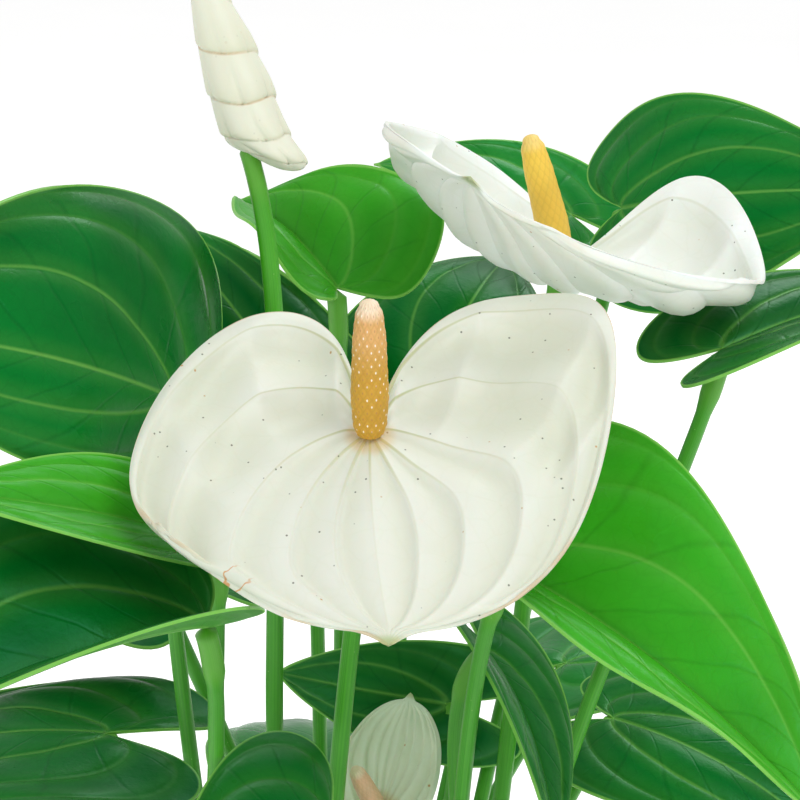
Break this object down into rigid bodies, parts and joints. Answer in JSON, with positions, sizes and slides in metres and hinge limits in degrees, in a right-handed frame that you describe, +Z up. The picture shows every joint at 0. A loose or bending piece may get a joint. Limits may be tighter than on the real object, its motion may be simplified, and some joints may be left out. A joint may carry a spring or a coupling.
{
  "type": "potted flowering plant",
  "caption": "Upright flowering houseplant with heart-shaped leaves and white hooded blooms on long stalks, growing in a plain round vase.",
  "frame": {"origin": "centre of the vase's flat foot, on the ground plane", "axes": "+Z up, along the vase's axis; -Y towards the front, where the open bloom faces; +X to the right"},
  "size_m": [0.3252, 0.3103, 0.517],
  "materials": {
    "stoneware": "satin glaze",
    "pebbles": "matt fired clay",
    "potting_mix": "matt bark and peat",
    "shoot": "matt",
    "leaf_dark": "glossy",
    "leaf_mid": "glossy",
    "leaf_bright": "glossy",
    "petiole": "satin",
    "peduncle": "satin",
    "spathe_white": "waxy",
    "spathe_bud": "waxy",
    "spathe_pale": "waxy",
    "spadix_ripe": "matt",
    "spadix_yellow": "matt",
    "spadix_pink": "matt"
  },
  "bodies": {
    "root": {"vase": "stoneware", "drainage_pebbles": "pebbles", "potting_mix": "potting_mix", "shoot_left": "shoot", "shoot_right": "shoot", "shoot_back": "shoot", "blade_left_high": "leaf_dark", "petiole_left_high": "petiole", "blade_centre_high": "leaf_bright", "petiole_centre_high": "petiole", "blade_left_far": "leaf_dark", "petiole_left_far": "petiole", "blade_right_far": "leaf_dark", "petiole_right_far": "petiole", "blade_right_high": "leaf_dark", "petiole_right_high": "petiole", "blade_back_high": "leaf_mid", "petiole_back_high": "petiole", "blade_right_side": "leaf_dark", "petiole_right_side": "petiole", "blade_right_front": "leaf_bright", "petiole_right_front": "petiole", "blade_left_front": "leaf_dark", "petiole_left_front": "petiole", "blade_left_side": "leaf_bright", "petiole_left_side": "petiole", "blade_front_low": "leaf_dark", "petiole_front_low": "petiole", "blade_centre_low": "leaf_dark", "petiole_centre_low": "petiole", "blade_right_mid": "leaf_mid", "petiole_right_mid": "petiole", "blade_right_low": "leaf_dark", "petiole_right_low": "petiole", "blade_left_low": "leaf_mid", "petiole_left_low": "petiole", "blade_back_low": "leaf_mid", "petiole_back_low": "petiole", "blade_back_left": "leaf_dark", "petiole_back_left": "petiole", "blade_back_right": "leaf_mid", "petiole_back_right": "petiole", "blade_left_mid": "leaf_dark", "petiole_left_mid": "petiole", "blade_right_front_low": "leaf_dark", "petiole_right_front_low": "petiole", "blade_front_lowest": "leaf_mid", "petiole_front_lowest": "petiole", "spathe_open": "spathe_white", "spadix_open": "spadix_ripe", "peduncle_open": "peduncle", "spathe_side": "spathe_white", "spadix_side": "spadix_yellow", "peduncle_side": "peduncle", "spathe_small": "spathe_pale", "spadix_small": "spadix_pink", "peduncle_small": "peduncle", "spathe_bud": "spathe_bud", "peduncle_bud": "peduncle"}
  },
  "joints": []
}
